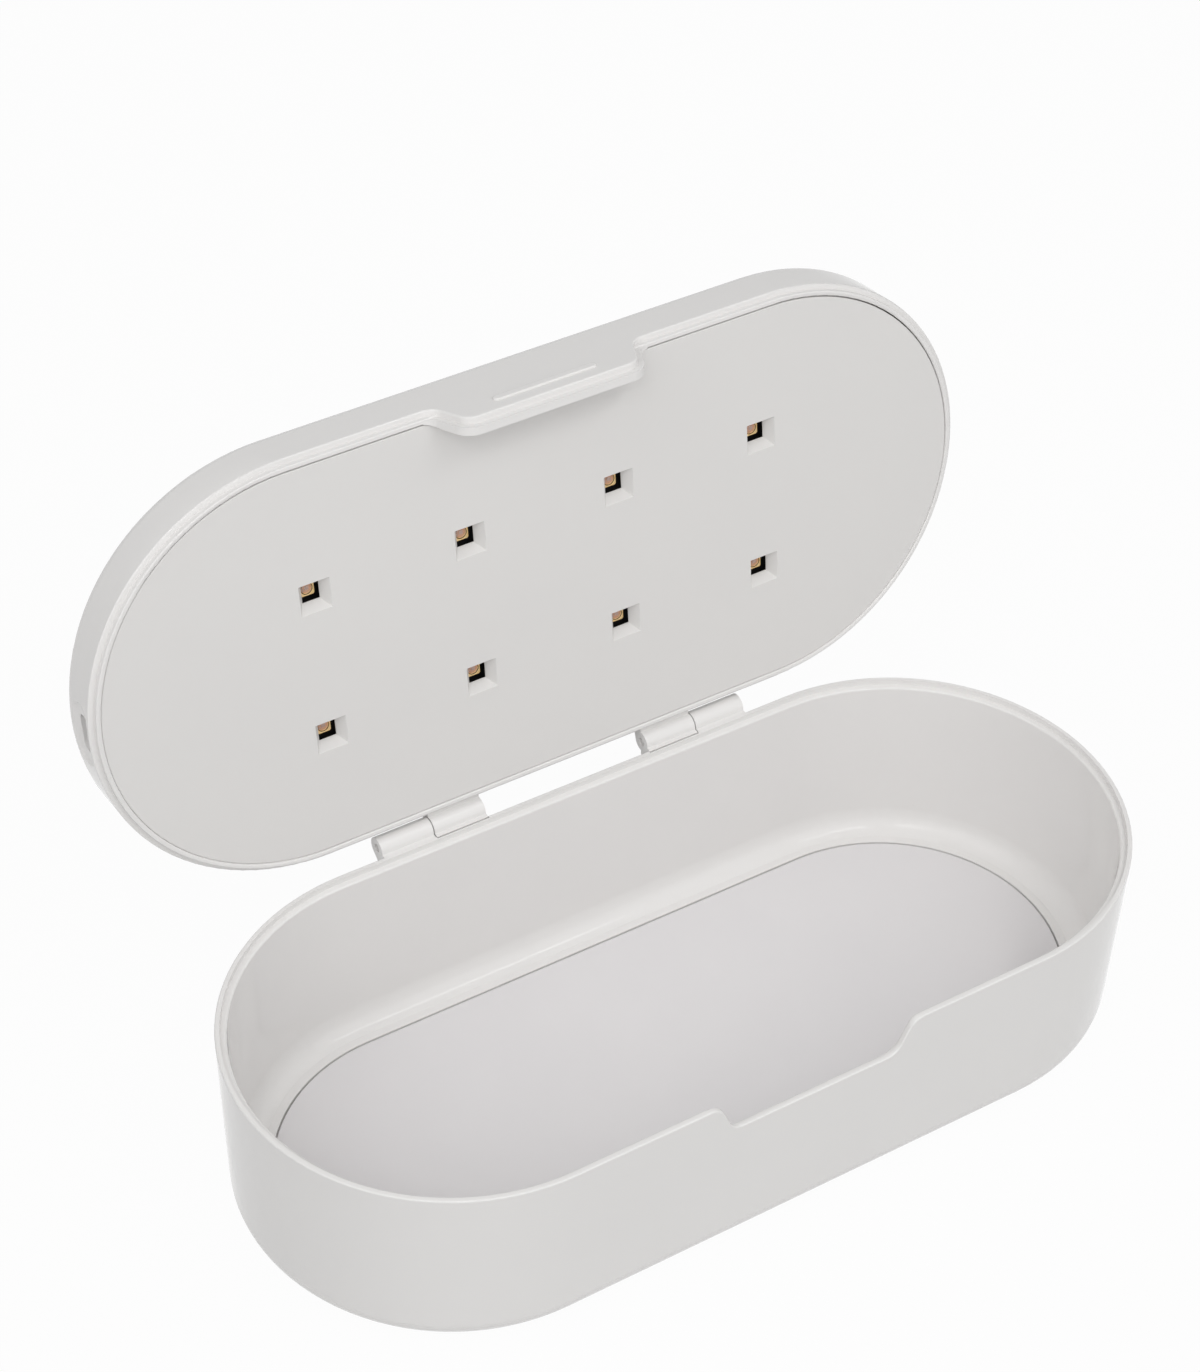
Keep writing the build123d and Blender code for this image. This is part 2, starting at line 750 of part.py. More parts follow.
with BuildPart() as power_button:
    with BuildSketch(lid_rim.offset(flange_top)):
        with Locations((key_x, bezel_y)):
            SlotOverall(key_length, key_width)
    extrude(amount=bezel_face + key_proud - flange_top)
    fillet(power_button.faces().sort_by(lid_axis)[-1].edges(), key_rounding)
    with BuildSketch(lid_rim.offset(flange_top)):
        with Locations((key_x, bezel_y)):
            SlotOverall(key_length + 2 * key_flange, key_width + 2 * key_flange)
    extrude(amount=-key_flange_thickness)
    with BuildSketch(lid_rim.offset(flange_back)):
        with Locations((key_x, bezel_y)):
            Circle(stem_radius)
    extrude(amount=-(flange_back - plunger_top))

with BuildPart() as indicator_lens:
    with BuildSketch(lid_rim.offset(board_top + led_height + light_lift)):
        with Locations((light_x, bezel_y)):
            Circle(light_radius)
    extrude(amount=bezel_face - board_top - led_height - light_lift)
    with BuildSketch(ceiling_plane):
        with Locations((light_x, bezel_y)):
            Circle(collar_radius)
    extrude(amount=-collar_thickness)

# Power inlet
with BuildPart() as usb_socket_shell:
    with BuildSketch(inlet_plane.offset(-(scoop_depth + socket_set_back))):
        SlotOverall(socket_width, socket_height)
        SlotOverall(socket_width - 2 * socket_shell, socket_height - 2 * socket_shell, mode=Mode.SUBTRACT)
    extrude(amount=-socket_depth)

with BuildPart() as usb_socket_tongue:
    with BuildSketch(inlet_plane.offset(-(scoop_depth + socket_set_back + socket_depth))):
        SlotOverall(socket_width - 2 * socket_shell, socket_height - 2 * socket_shell)
    extrude(amount=socket_back)
    with BuildSketch(inlet_plane.offset(-(scoop_depth + socket_set_back + socket_depth - socket_back))):
        Rectangle(tongue_width, tongue_height)
    extrude(amount=socket_depth - socket_back - tongue_set_back)

inlet_board_x = (inlet_board_start + inlet_board_end) / 2
inlet_board = board(
    inlet_board_face,
    inlet_board_thickness,
    inlet_board_length,
    inlet_board_width,
    (inlet_board_x, 0),
    inlet_screw_places,
)
inlet_screws = screws(inlet_board_face, inlet_screw_places, -1)

# Wires: inlet board to control board, control board to rear strip, rear strip to front strip
inlet_middle = inlet_board_face + inlet_board_thickness / 2
board_middle = board_back + board_thickness / 2
strip_middle = strip_face + strip_thickness / 2
power_routes = []
for turn_in, lift in ((0, 1), (1, 0)):
    start_y = inlet_board_width / 2 - wire_edge - wire_pitch * turn_in
    end_y = board_front + wire_edge + wire_pitch * lift
    corner_x = inlet_board_end + wire_lead + turn_in * wire_pitch / 2
    power_routes.append([
        (inlet_board_end, start_y, inlet_middle),
        (corner_x, start_y, inlet_middle),
        (-board_length / 2 - wire_run + turn_in * wire_pitch / 2, end_y, board_middle),
        (-board_length / 2, end_y, board_middle),
    ])
power_wires = wires(power_routes, wire_bend)

rear_edge = rear_row + strip_width / 2
supply_y = (rear_edge + board_front) / 2
supply_wires = wires(
    [
        [
            (x, board_front, board_middle),
            (x, supply_y, board_middle),
            (x, supply_y, strip_middle),
            (x, rear_edge, strip_middle),
        ]
        for x in (supply_x, supply_x + wire_pitch)
    ],
    wire_step,
)

link_start = lid_rim.from_local_coords((0, rear_row - strip_width / 2, strip_middle))
with BuildPart() as link_wires:
    with BuildSketch(Plane(origin=link_start, x_dir=(1, 0, 0), z_dir=-lid_back)):
        with Locations((link_x, 0), (link_x + wire_pitch, 0)):
            Circle(wire_radius)
    extrude(amount=rear_row - front_row - strip_width)

pieces = {
    "tray_shell": tray_shell,
    "floor_plate": floor_plate,
    "hinge_pin_left": hinge_pin_left,
    "hinge_pin_right": hinge_pin_right,
    "lid_shell": lid_shell,
    "led_panel": led_panel,
    **lamps,
    "led_strip_front": led_strip_front,
    "led_strip_rear": led_strip_rear,
    "strip_screws": strip_screws,
    "control_board": control_board,
    "board_screws": board_screws,
    "driver_chip": driver_chip,
    "inductor": inductor,
    "tilt_switch": tilt_switch,
    "indicator_led": indicator_led,
    "indicator_lens": indicator_lens,
    "control_bezel": control_bezel,
    "power_button": power_button,
    "switch_body": switch_body,
    "switch_plunger": switch_plunger,
    "usb_socket_shell": usb_socket_shell,
    "usb_socket_tongue": usb_socket_tongue,
    "inlet_board": inlet_board,
    "inlet_screws": inlet_screws,
    "power_wires": power_wires,
    "supply_wires": supply_wires,
    "link_wires": link_wires,
}
os.makedirs("parts", exist_ok=True)
for name, piece in pieces.items():
    piece.part.label = name
    export_step(piece.part, f"parts/{name}.step")
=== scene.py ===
# Ultraviolet sterilizer box for nail tools, standing open on a pale floor.
# Metres, +Z up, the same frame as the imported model.
import math

import bmesh
import bpy
from mathutils import Matrix, Vector


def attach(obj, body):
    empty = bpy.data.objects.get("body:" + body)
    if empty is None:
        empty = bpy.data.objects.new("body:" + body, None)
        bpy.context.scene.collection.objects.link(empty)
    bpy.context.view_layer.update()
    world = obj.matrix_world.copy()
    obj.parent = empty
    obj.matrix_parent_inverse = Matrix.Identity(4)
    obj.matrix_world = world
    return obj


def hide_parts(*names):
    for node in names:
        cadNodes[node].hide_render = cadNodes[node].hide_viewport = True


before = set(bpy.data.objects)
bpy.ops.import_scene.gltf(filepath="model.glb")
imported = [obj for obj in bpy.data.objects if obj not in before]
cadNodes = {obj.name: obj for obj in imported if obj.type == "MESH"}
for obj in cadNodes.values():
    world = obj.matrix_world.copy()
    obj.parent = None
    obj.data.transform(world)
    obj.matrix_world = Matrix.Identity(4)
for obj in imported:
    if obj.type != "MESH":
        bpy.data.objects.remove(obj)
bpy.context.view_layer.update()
print("frame loaded,", len(cadNodes), "nodes")

# Camera, at the photograph's place and angle
camera = {
    "place": (-0.29283, -0.41181, 0.55168),
    "right": (0.847062, -0.530839, 0.026392),
    "down": (-0.344177, -0.585689, -0.733833),
    "forward": (0.405004, 0.612519, -0.678817),
    "lens": 85.396,
    "shiftX": -0.01136,
    "shiftY": 0.07454,
    "nearest": 0.01,
}
cameraData = bpy.data.cameras.new("camera")
cameraData.lens = camera["lens"]
cameraData.shift_x = camera["shiftX"]
cameraData.shift_y = camera["shiftY"]
cameraData.clip_start = camera["nearest"]
cameraObject = bpy.data.objects.new("camera", cameraData)
cameraTurn = Matrix((Vector(camera["right"]), -Vector(camera["down"]), -Vector(camera["forward"])))
cameraObject.matrix_world = Matrix.Translation(camera["place"]) @ cameraTurn.transposed().to_4x4()
bpy.context.scene.collection.objects.link(cameraObject)
bpy.context.scene.camera = cameraObject
bpy.context.scene.view_settings.view_transform = "Standard"
print("camera set")

# The lid's own directions while it stands open: lidBack runs from its tab to its hinge
# and lidUp out of its top. lidMatrix turns places measured in the shut lid into the open one.
lid = {"angle": 98.0, "hingeY": 0.05365, "hingeZ": 0.0473, "rimLift": 0.00005}
lidAngle = math.radians(lid["angle"])
lidBack = Vector((0, math.cos(lidAngle), -math.sin(lidAngle)))
lidUp = Vector((0, math.sin(lidAngle), math.cos(lidAngle)))
lidOrigin = Vector((0, lid["hingeY"], lid["hingeZ"])) - lidBack * lid["hingeY"] + lidUp * lid["rimLift"]
lidTurn = Matrix((Vector((1, 0, 0)), lidBack, lidUp)).transposed().to_4x4()
lidMatrix = Matrix.Translation(lidOrigin) @ lidTurn


class Field:
    # a value that varies over a surface; arithmetic on it adds the Math nodes
    def __init__(self, nodes, socket):
        self.nodes = nodes
        self.socket = socket

    def maths(self, operation, other):
        return self.nodes.node("ShaderNodeMath", {"operation": operation}, {0: self, 1: other})

    def __add__(self, other):
        return self.maths("ADD", other)

    def __mul__(self, other):
        return self.maths("MULTIPLY", other)

    def above(self, other):
        return self.maths("GREATER_THAN", other)

    def below(self, other):
        return self.maths("LESS_THAN", other)

    def step(self, low, high):
        # 0 at low and 1 at high, with a soft run between them
        return self.nodes.node(
            "ShaderNodeMapRange",
            {"interpolation_type": "SMOOTHSTEP"},
            {"Value": self, "From Min": low, "From Max": high},
        )

    __radd__ = __add__
    __rmul__ = __mul__


class Nodes:
    # a node tree of a material or of the world
    def __init__(self, tree):
        self.tree = tree

    def node(self, kind, settings=None, sockets=None, output=0):
        made = self.tree.nodes.new(kind)
        for setting, value in (settings or {}).items():
            setattr(made, setting, value)
        for socket, value in (sockets or {}).items():
            if isinstance(value, Field):
                self.tree.links.new(value.socket, made.inputs[socket])
            else:
                made.inputs[socket].default_value = value
        return Field(self, made.outputs[output]) if made.outputs else None

    def shown(self):
        # 1 for what the camera, a mirror image or a clear piece shows, 0 for what lights the scene
        seen = self.node("ShaderNodeLightPath", output="Is Camera Ray")
        for ray in ("Is Glossy Ray", "Is Transmission Ray"):
            seen = seen.maths("MAXIMUM", self.node("ShaderNodeLightPath", output=ray))
        return seen


class Finish(Nodes):
    # one material, made of a Principled shader and the fields that feed it
    def __init__(self, name, colour, roughness, **values):
        self.material = bpy.data.materials.new(name)
        self.material.use_nodes = True
        super().__init__(self.material.node_tree)
        self.shader = self.tree.nodes["Principled BSDF"]
        self.shader.inputs["Base Color"].default_value = (*colour, 1)
        self.shader.inputs["Roughness"].default_value = roughness
        for socket, value in values.items():
            self.shader.inputs[socket].default_value = value
        self.material.diffuse_color = (*colour, 1)
        self.place = self.node("ShaderNodeTexCoord", output="Object")

    def feed(self, socket, field):
        self.tree.links.new(field.socket, self.shader.inputs[socket])

    def scaled(self, stretch):
        # the place on the object, stretched along its axes
        stretched = {"Vector": self.place, "Scale": stretch}
        return self.node("ShaderNodeMapping", {"vector_type": "POINT"}, stretched)

    def noise(self, scale, detail, rough=0.5, place=None):
        return self.node(
            "ShaderNodeTexNoise",
            {"noise_dimensions": "3D"},
            {"Vector": place or self.place, "Scale": scale, "Detail": detail, "Roughness": rough},
        )

    def blend(self, mask, first, second):
        # a colour between two, by a mask; inputs 6 and 7 and output 2 are the Mix node's colours
        tones = [tone if isinstance(tone, Field) else (*tone, 1) for tone in (first, second)]
        return self.node(
            "ShaderNodeMix", {"data_type": "RGBA"}, {"Factor": mask, 6: tones[0], 7: tones[1]}, output=2
        )

    def specks(self, scale, share, radius):
        # sparse round specks, such as dust: 1 on a speck
        cell = {"Vector": self.place, "Scale": scale, "Randomness": 1.0}
        near = self.node("ShaderNodeTexVoronoi", {"feature": "F1"}, cell, output="Distance")
        tone = self.node("ShaderNodeTexVoronoi", {"feature": "F1"}, cell, output="Color")
        chance = self.node("ShaderNodeSeparateColor", {}, {"Color": tone}, output="Red")
        return near.below(radius) * chance.above(1 - share)

    def bump(self, height, distance):
        self.feed("Normal", self.node("ShaderNodeBump", {}, {"Height": height, "Distance": distance}))


# In the dictionaries of finishes a noise is its scale, its detail and, where it has one, its
# roughness, and a run is the two values that a soft step lies between.

# Moulded white plastic: flow clouds, a faint ripple and fine rubbing marks
white = {
    "index": 1.49,
    "shine": 0.24,
    "clouds": (30, 3),
    "cloudRun": (0.3, 0.75),
    "speck": (0.40, 0.38, 0.35),
    "speckScale": 420,
    "speckSize": 0.04,
    "speckCover": 0.4,
    "rubs": (90, 4, 0.6),
    "rubRun": (0.3, 0.8),
    "swell": (22, 1),
    "peel": (1500, 1),
}


def plastic(name, colour, cloud, roughness, rub, ripple, grain, dust):
    gloss = {"IOR": white["index"], "Specular IOR Level": white["shine"]}
    finish = Finish(name, colour, roughness, **gloss)
    clouds = finish.noise(*white["clouds"]).step(*white["cloudRun"])
    dirt = finish.specks(white["speckScale"], dust, white["speckSize"])
    clean = finish.blend(clouds, colour, cloud)
    finish.feed("Base Color", finish.blend(dirt * white["speckCover"], clean, white["speck"]))
    spots = finish.noise(*white["rubs"]).step(*white["rubRun"])
    finish.feed("Roughness", spots * rub + roughness)
    swell = finish.noise(*white["swell"]) * ripple
    peel = finish.noise(*white["peel"]) * grain
    finish.bump(swell + peel, 1.0)  # the heights are metres already
    return finish.material


shellWhite = plastic(
    "shellWhite", colour=(0.825, 0.813, 0.801), cloud=(0.815, 0.803, 0.792),
    roughness=0.06, rub=0.02, ripple=0.00006, grain=0.0000012, dust=0.012,
)
panelWhite = plastic(
    "panelWhite", colour=(0.775, 0.763, 0.748), cloud=(0.767, 0.755, 0.742),
    roughness=0.38, rub=0.03, ripple=0.00002, grain=0.000003, dust=0.004,
)
plateWhite = plastic(
    "plateWhite", colour=(0.765, 0.750, 0.756), cloud=(0.752, 0.737, 0.745),
    roughness=0.22, rub=0.02, ripple=0.00003, grain=0.000002, dust=0.008,
)
print("white plastics made")

# Drawn or brushed metal, streaked along one axis
brushed = {"streaks": (900, 3, 0.6), "dull": 0.72, "dullRun": (0.3, 0.8), "depth": 0.000004}


def metal(name, colour, roughness, brush, stretch):
    finish = Finish(name, colour, roughness, Metallic=1.0)
    streaks = finish.noise(*brushed["streaks"], place=finish.scaled(stretch))
    finish.feed("Roughness", streaks * brush + (roughness - brush / 2))
    dull = tuple(part * brushed["dull"] for part in colour)
    finish.feed("Base Color", finish.blend(streaks.step(*brushed["dullRun"]), colour, dull))
    finish.bump(streaks, brushed["depth"])
    return finish.material


# Black or coloured moulded and coated parts, with worn clouds and a little dust
coated = {
    "clouds": (160, 3),
    "cloudRun": (0.35, 0.75),
    "wornLift": 0.004,
    "dust": (0.45, 0.44, 0.42),
    "dustScale": 700,
    "dustShare": 0.05,
    "dustSize": 0.07,
    "dustCover": 0.35,
    "cloudRough": 0.08,
    "fine": (1400, 2),
    "fineRough": 0.06,
    "smoother": 0.04,
    "pores": (2600, 2),
}


def dark(name, colour, roughness, grain, mottle=1.6):
    finish = Finish(name, colour, roughness)
    clouds = finish.noise(*coated["clouds"]).step(*coated["cloudRun"])
    worn = tuple(min(1.0, part * mottle + coated["wornLift"]) for part in colour)
    dust = finish.specks(coated["dustScale"], coated["dustShare"], coated["dustSize"])
    clean = finish.blend(clouds, colour, worn)
    finish.feed("Base Color", finish.blend(dust * coated["dustCover"], clean, coated["dust"]))
    uneven = clouds * coated["cloudRough"] + finish.noise(*coated["fine"]) * coated["fineRough"]
    finish.feed("Roughness", uneven + (roughness - coated["smoother"]))
    finish.bump(finish.noise(*coated["pores"]), grain)
    return finish.material


pinSteel = metal("pinSteel", (0.62, 0.61, 0.60), roughness=0.34, brush=0.18, stretch=(0.15, 1, 1))
screwSteel = metal("screwSteel", (0.58, 0.58, 0.57), roughness=0.38, brush=0.16, stretch=(1, 1, 1))
socketSteel = metal("socketSteel", (0.66, 0.66, 0.66), roughness=0.30, brush=0.14, stretch=(0.2, 1, 1))
canSteel = metal("canSteel", (0.60, 0.60, 0.61), roughness=0.30, brush=0.12, stretch=(0.2, 1, 1))
contactGold = metal("contactGold", (0.86, 0.62, 0.25), roughness=0.28, brush=0.12, stretch=(1, 1, 1))
boardBlack = dark("boardBlack", (0.012, 0.012, 0.013), roughness=0.42, grain=0.00001)
boardGreen = dark("boardGreen", (0.012, 0.085, 0.034), roughness=0.38, grain=0.00001)
partBlack = dark("partBlack", (0.016, 0.016, 0.017), roughness=0.55, grain=0.00002)
tongueGrey = dark("tongueGrey", (0.20, 0.20, 0.20), roughness=0.50, grain=0.00002, mottle=1.1)
ferriteGrey = dark("ferriteGrey", (0.045, 0.044, 0.046), roughness=0.65, grain=0.00003)
keyBlack = dark("keyBlack", (0.010, 0.010, 0.011), roughness=0.20, grain=0.000004)
bezelBlack = dark("bezelBlack", (0.008, 0.008, 0.009), roughness=0.12, grain=0.000003)
wireRed = dark("wireRed", (0.42, 0.018, 0.014), roughness=0.45, grain=0.00001, mottle=1.2)
ledCream = dark("ledCream", (0.72, 0.66, 0.40), roughness=0.35, grain=0.00001, mottle=1.1)

# Gold-plated ceramic lamp package: grainy, a little uneven in tone, with painted light: a weak even glow
# that brightens the package in its shaded well
gold = {
    "colour": (0.90, 0.66, 0.32),
    "deep": (0.88, 0.62, 0.28),
    "pale": (0.95, 0.74, 0.42),
    "glow": (0.95, 0.62, 0.26, 1),
    "paintedLightStrength": 0.16,
    "roughness": 0.36,
    "grain": (1800, 3, 0.6),
    "grainRun": (0.35, 0.7),
    "grainRough": 0.2,
    "leastRough": 0.26,
    "depth": 0.00001,
}
# painted light: an even emission that brightens the gold, standing in for light that does not reach it
paintedLightSockets = {"Emission Color": gold["glow"], "Emission Strength": gold["paintedLightStrength"]}
goldFinish = Finish("lampGold", gold["colour"], gold["roughness"], **paintedLightSockets)
grain = goldFinish.noise(*gold["grain"])
goldFinish.feed("Base Color", goldFinish.blend(grain.step(*gold["grainRun"]), gold["deep"], gold["pale"]))
goldFinish.feed("Roughness", grain * gold["grainRough"] + gold["leastRough"])
goldFinish.bump(grain, gold["depth"])

# Lamp dome, nearly clear, so that the chip shows through it
quartz = {
    "colour": (0.98, 0.95, 0.88),
    "roughness": 0.03,
    "alpha": 0.12,
    "haze": (900, 2),
    "least": 0.02,
    "rise": 0.02,
}
quartzFinish = Finish("domeQuartz", quartz["colour"], quartz["roughness"], Alpha=quartz["alpha"])
quartzFinish.feed("Roughness", quartzFinish.noise(*quartz["haze"]) * quartz["rise"] + quartz["least"])

# Light pipe under the bezel's dot
pipe = {
    "colour": (0.86, 0.90, 0.94),
    "index": 1.49,
    "haze": (900, 2),
    "hazeRun": (0.4, 0.8),
    "least": 0.12,
    "rise": 0.05,
}
clearSockets = {"Transmission Weight": 1.0, "IOR": pipe["index"]}
pipeFinish = Finish("lensClear", pipe["colour"], pipe["least"], **clearSockets)
haze = pipeFinish.noise(*pipe["haze"]).step(*pipe["hazeRun"])
pipeFinish.feed("Roughness", haze * pipe["rise"] + pipe["least"])
print("finishes made")


def dress(piece, material):
    piece.data.materials.clear()
    piece.data.materials.append(material)


def addPiece(name, form, material, body):
    # turns a finished bmesh into a piece of the object
    mesh = bpy.data.meshes.new(name)
    form.to_mesh(mesh)
    form.free()
    piece = bpy.data.objects.new(name, mesh)
    bpy.context.scene.collection.objects.link(piece)
    dress(piece, material)
    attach(piece, body)
    return piece


# Smooth copies of the CAD nodes: points closer than merge become one, and edges that turn by
# more than sharp degrees stay crisp. The lid's rounded lip has wider turns, so it takes its own.
smooth = {"merge": 0.0000015, "sharp": 36.0, "lidSharp": 60.0, "weight": 100}


def smoothCopy(nodeName, material, body, sharp=smooth["sharp"]):
    form = bmesh.new()
    form.from_mesh(cadNodes[nodeName].data)
    for layer in list(form.loops.layers.float_vector.values()):  # vectors that came with its corners
        form.loops.layers.float_vector.remove(layer)
    bmesh.ops.remove_doubles(form, verts=form.verts, dist=smooth["merge"])
    bmesh.ops.dissolve_degenerate(form, edges=form.edges, dist=smooth["merge"])
    for edge in form.edges:
        edge.smooth = edge.calc_face_angle(0) < math.radians(sharp)
    for face in form.faces:
        face.smooth = True
    words = nodeName.title().replace("_", "")
    piece = addPiece(words[0].lower() + words[1:], form, material, body)
    weighted = piece.modifiers.new("weighted", "WEIGHTED_NORMAL")
    weighted.keep_sharp = True
    weighted.weight = smooth["weight"]
    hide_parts(nodeName)


smoothCopy("tray_shell", shellWhite, "tray")
smoothCopy("lid_shell", shellWhite, "lid", smooth["lidSharp"])
smoothCopy("led_panel", panelWhite, "lid")
smoothCopy("floor_plate", plateWhite, "tray")
smoothCopy("hinge_pin_left", pinSteel, "tray")
smoothCopy("hinge_pin_right", pinSteel, "tray")
smoothCopy("control_bezel", bezelBlack, "lid")
smoothCopy("power_button", keyBlack, "key")
smoothCopy("indicator_lens", pipeFinish.material, "lid")
for number in range(1, 9):
    smoothCopy(f"led_package_{number}", goldFinish.material, "lid")
    smoothCopy(f"led_dome_{number}", quartzFinish.material, "lid")
smoothCopy("usb_socket_shell", socketSteel, "lid")
smoothCopy("tilt_switch", canSteel, "lid")
print("shells, panel and lamps dressed")

# CAD nodes inside the lid that keep their own meshes
innerParts = {
    "led_strip_front": boardBlack,
    "led_strip_rear": boardBlack,
    "strip_screws": screwSteel,
    "board_screws": screwSteel,
    "inlet_screws": screwSteel,
    "control_board": boardGreen,
    "inlet_board": boardGreen,
    "driver_chip": partBlack,
    "switch_body": partBlack,
    "switch_plunger": partBlack,
    "usb_socket_tongue": tongueGrey,
    "inductor": ferriteGrey,
    "indicator_led": ledCream,
    "power_wires": wireRed,
    "supply_wires": wireRed,
    "link_wires": wireRed,
}
for nodeName, material in innerParts.items():
    dress(cadNodes[nodeName], material)
print("inner parts dressed")

# What each lamp shows under its dome: the chip with two pads on the well's floor, and the
# dark seam round the dome. Heights are counted from the shut lid's rim, up into the lid.
lamp = {
    "columns": 4,
    "rows": 2,
    "pitchX": 0.0375,
    "pitchY": 0.0352,
    "shiftY": 0.00125,
    "front": 0.00315,
    "floor": 0.0035,
    "chip": 0.00095,
    "chipThick": 0.00012,
    "chipShift": 0.0001,
    "pad": 0.0004,
    "padLong": 1.6,
    "padX": -0.0008,
    "padY": 0.0004,
    "edge": 0.00003,
    "ring": 0.00136,
    "ringWire": 0.00008,
    "wireSides": 10,
    "disc": 0.00124,
    "discThick": 0.00003,
    "sides": 40,
}
lampChip = dark("lampChip", (0.62, 0.42, 0.36), roughness=0.25, grain=0.000002, mottle=1.2)
lampWell = dark("lampWell", (0.80, 0.42, 0.24), roughness=0.35, grain=0.000003, mottle=1.1)
lampSeam = dark("lampSeam", (0.05, 0.032, 0.02), roughness=0.40, grain=0.000002)


def addBlock(form, size, place):
    block = bmesh.ops.create_cube(form, size=1.0)["verts"]
    bmesh.ops.scale(form, vec=size, verts=block)
    bmesh.ops.translate(form, vec=place, verts=block)


def lampDetail(number, centreX, centreY):
    form = bmesh.new()
    well = lamp["floor"] - lamp["discThick"]
    padThick = lamp["chipThick"] / 2
    addBlock(
        form,
        (lamp["chip"], lamp["chip"], lamp["chipThick"]),
        (lamp["chipShift"], 0, well - lamp["chipThick"] / 2),
    )
    for side in (-1, 1):
        addBlock(
            form,
            (lamp["pad"], lamp["pad"] * lamp["padLong"], padThick),
            (lamp["padX"], side * lamp["padY"], well - padThick / 2),
        )
    bmesh.ops.bevel(
        form, geom=form.edges[:], offset=lamp["edge"], offset_type="OFFSET", segments=2, profile=0.5,
        affect="EDGES", material=-1,
    )
    place = Matrix.Translation((centreX, centreY, 0))
    bmesh.ops.transform(form, matrix=lidMatrix @ place, verts=form.verts)
    addPiece(f"lampChip{number}", form, lampChip, "lid")


def lampDisc(number, centreX, centreY):
    form = bmesh.new()
    bmesh.ops.create_cone(
        form, cap_ends=True, segments=lamp["sides"], radius1=lamp["disc"], radius2=lamp["disc"],
        depth=lamp["discThick"],
    )
    place = Matrix.Translation((centreX, centreY, lamp["floor"] - lamp["discThick"] / 2))
    bmesh.ops.transform(form, matrix=lidMatrix @ place, verts=form.verts)
    addPiece(f"lampDisc{number}", form, lampWell, "lid")


def lampRing(number, centreX, centreY):
    form = bmesh.new()
    wire = bmesh.ops.create_circle(form, segments=lamp["wireSides"], radius=lamp["ringWire"])["verts"]
    bmesh.ops.rotate(form, cent=(0, 0, 0), matrix=Matrix.Rotation(math.pi / 2, 3, "X"), verts=wire)
    bmesh.ops.translate(form, vec=(lamp["ring"], 0, 0), verts=wire)
    bmesh.ops.spin(
        form, geom=form.edges[:], cent=(0, 0, 0), axis=(0, 0, 1), angle=math.tau, steps=lamp["sides"],
        use_merge=True, use_duplicate=False,
    )
    bmesh.ops.recalc_face_normals(form, faces=form.faces)
    for face in form.faces:
        face.smooth = True
    place = Matrix.Translation((centreX, centreY, lamp["front"]))
    bmesh.ops.transform(form, matrix=lidMatrix @ place, verts=form.verts)
    addPiece(f"lampRing{number}", form, lampSeam, "lid")


for index in range(lamp["columns"] * lamp["rows"]):
    centreX = lamp["pitchX"] * (index % lamp["columns"] - (lamp["columns"] - 1) / 2)
    centreY = lamp["shiftY"] + lamp["pitchY"] * (index // lamp["columns"] - (lamp["rows"] - 1) / 2)
    lampDetail(index + 1, centreX, centreY)
    lampDisc(index + 1, centreX, centreY)
    lampRing(index + 1, centreX, centreY)
print("lamp details made")

# Contacts on both faces of the power inlet's tongue
contact = {
    "count": 12,
    "pitch": 0.0005,
    "width": 0.00028,
    "length": 0.0042,
    "thick": 0.00004,
    "front": -0.1075,
    "setBack": 0.0004,
    "height": 0.0046,
    "halfTongue": 0.00035,
}
form = bmesh.new()
contactSize = (contact["length"], contact["width"], contact["thick"])
contactMiddle = contact["front"] + contact["length"] / 2 + contact["setBack"]
for side in (-1, 1):
    contactHeight = contact["height"] + side * contact["halfTongue"]
    for index in range(contact["count"]):
        across = (index - (contact["count"] - 1) / 2) * contact["pitch"]
        addBlock(form, contactSize, (contactMiddle, across, contactHeight))
bmesh.ops.transform(form, matrix=lidMatrix, verts=form.verts)
addPiece("inletContacts", form, contactGold, "lid")
print("inlet contacts made")

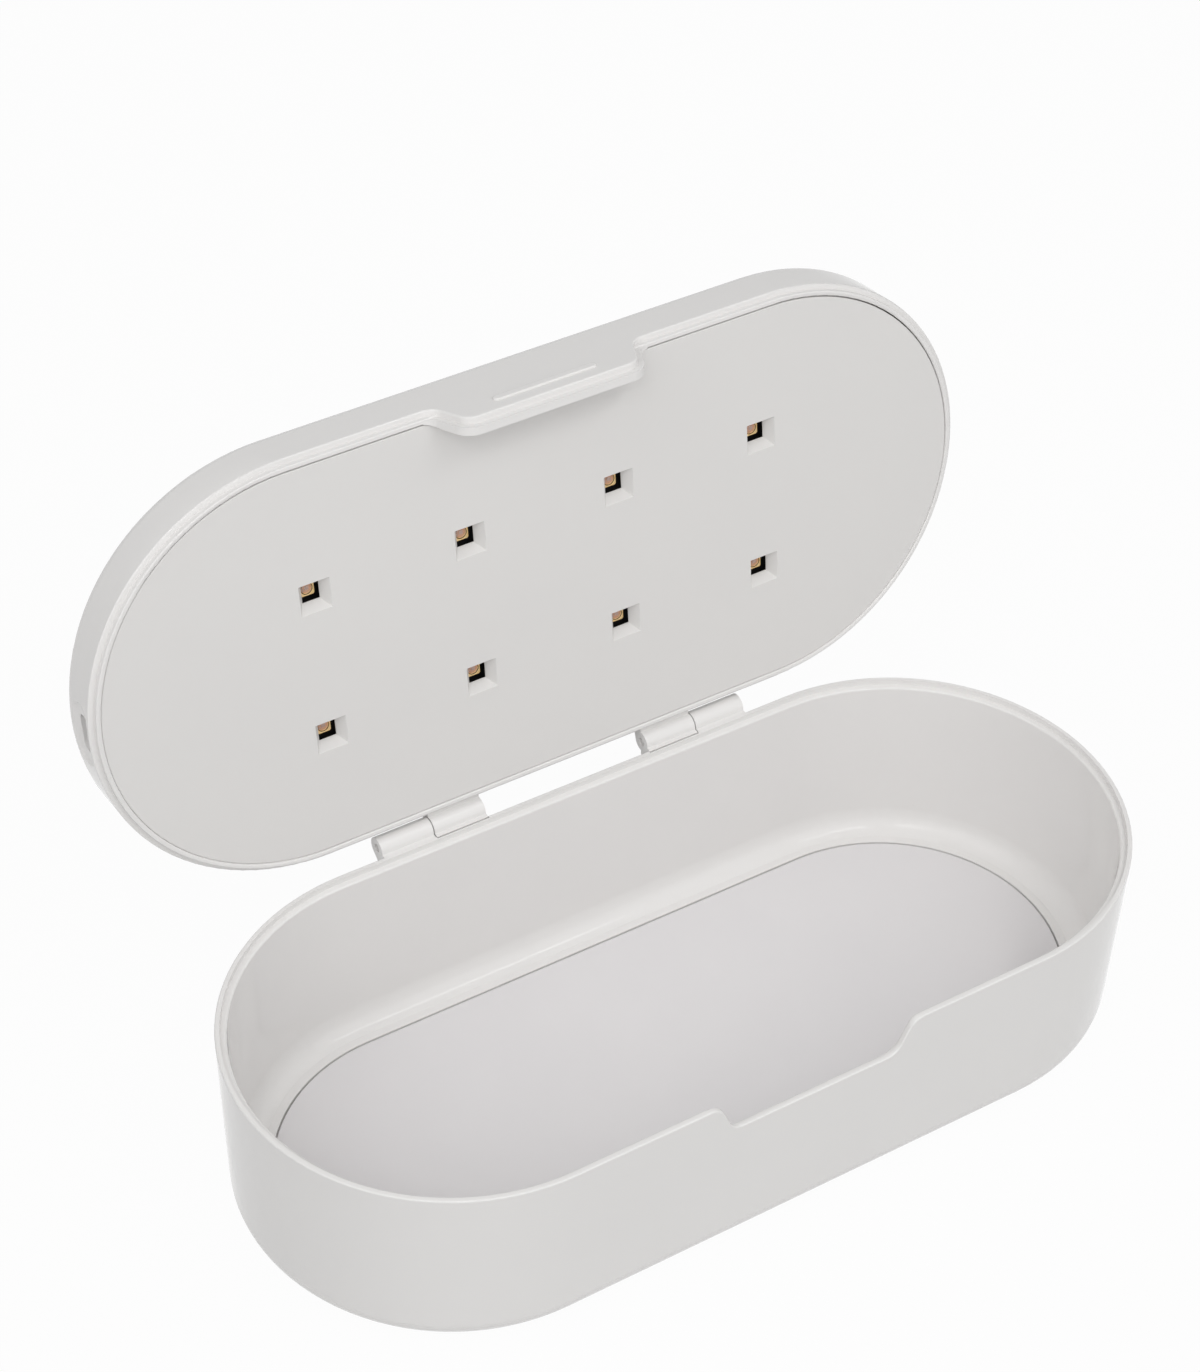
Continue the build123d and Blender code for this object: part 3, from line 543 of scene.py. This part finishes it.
# Floor and light
room = {
    "floorSize": 12.0,
    "floorColour": (0.55, 0.55, 0.55),
    "floorRoughness": 0.85,
    "floorGlow": 0.965,
    "skyLight": 0.30,
    "skyShown": 1.0,
    "white": (1, 1, 1, 1),
    "aim": (0, 0.02, 0.05),
    "softboxes": {
        # name: (direction round from +X, height in degrees, distance, width, height, power)
        "softboxFront": (-84, 28, 1.2, 1.50, 1.30, 5.0),
        "softboxStreak": (-66, 60, 1.2, 0.60, 0.14, 1.7),
        "softboxCorner": (-130, 50, 1.2, 0.36, 0.28, 1.0),
        "softboxLeft": (-160, 44, 1.2, 1.20, 1.20, 5.6),
        "softboxRight": (-5, 45, 1.2, 0.90, 0.90, 1.4),
    },
}
form = bmesh.new()
bmesh.ops.create_grid(form, x_segments=2, y_segments=2, size=room["floorSize"] / 2)
floorMesh = bpy.data.meshes.new("floor")
form.to_mesh(floorMesh)
form.free()
floor = bpy.data.objects.new("floor", floorMesh)
bpy.context.scene.collection.objects.link(floor)
floorFinish = Finish("floorPale", room["floorColour"], room["floorRoughness"])
floorLit = Field(floorFinish, floorFinish.shader.outputs[0])
floorGlow = floorFinish.node("ShaderNodeEmission", {}, {"Color": room["white"], "Strength": 1.0})
floorShare = floorFinish.shown() * room["floorGlow"]
floorMix = floorFinish.node("ShaderNodeMixShader", {}, {0: floorShare, 1: floorLit, 2: floorGlow})
floorFinish.tree.links.new(floorMix.socket, floorFinish.tree.nodes["Material Output"].inputs["Surface"])
dress(floor, floorFinish.material)

world = bpy.data.worlds.new("sky")
bpy.context.scene.world = world
world.use_nodes = True
world.node_tree.nodes.clear()
sky = Nodes(world.node_tree)
skyLit = sky.node("ShaderNodeBackground", {}, {"Color": room["white"], "Strength": room["skyLight"]})
skyShown = sky.node("ShaderNodeBackground", {}, {"Color": room["white"], "Strength": room["skyShown"]})
skyMix = sky.node("ShaderNodeMixShader", {}, {0: sky.shown(), 1: skyLit, 2: skyShown})
sky.node("ShaderNodeOutputWorld", {}, {"Surface": skyMix})

for name, (around, height, distance, wide, high, power) in room["softboxes"].items():
    softboxData = bpy.data.lights.new(name, "AREA")
    softboxData.shape = "RECTANGLE"
    softboxData.size = wide
    softboxData.size_y = high
    softboxData.energy = power
    softbox = bpy.data.objects.new(name, softboxData)
    turned = Matrix.Rotation(math.radians(around), 3, "Z") @ Matrix.Rotation(math.radians(-height), 3, "Y")
    reach = turned @ Vector((distance, 0, 0))
    softbox.location = reach + Vector(room["aim"])
    softbox.rotation_euler = (-reach).to_track_quat("-Z", "Y").to_euler()
    bpy.context.scene.collection.objects.link(softbox)
print("floor and light set")
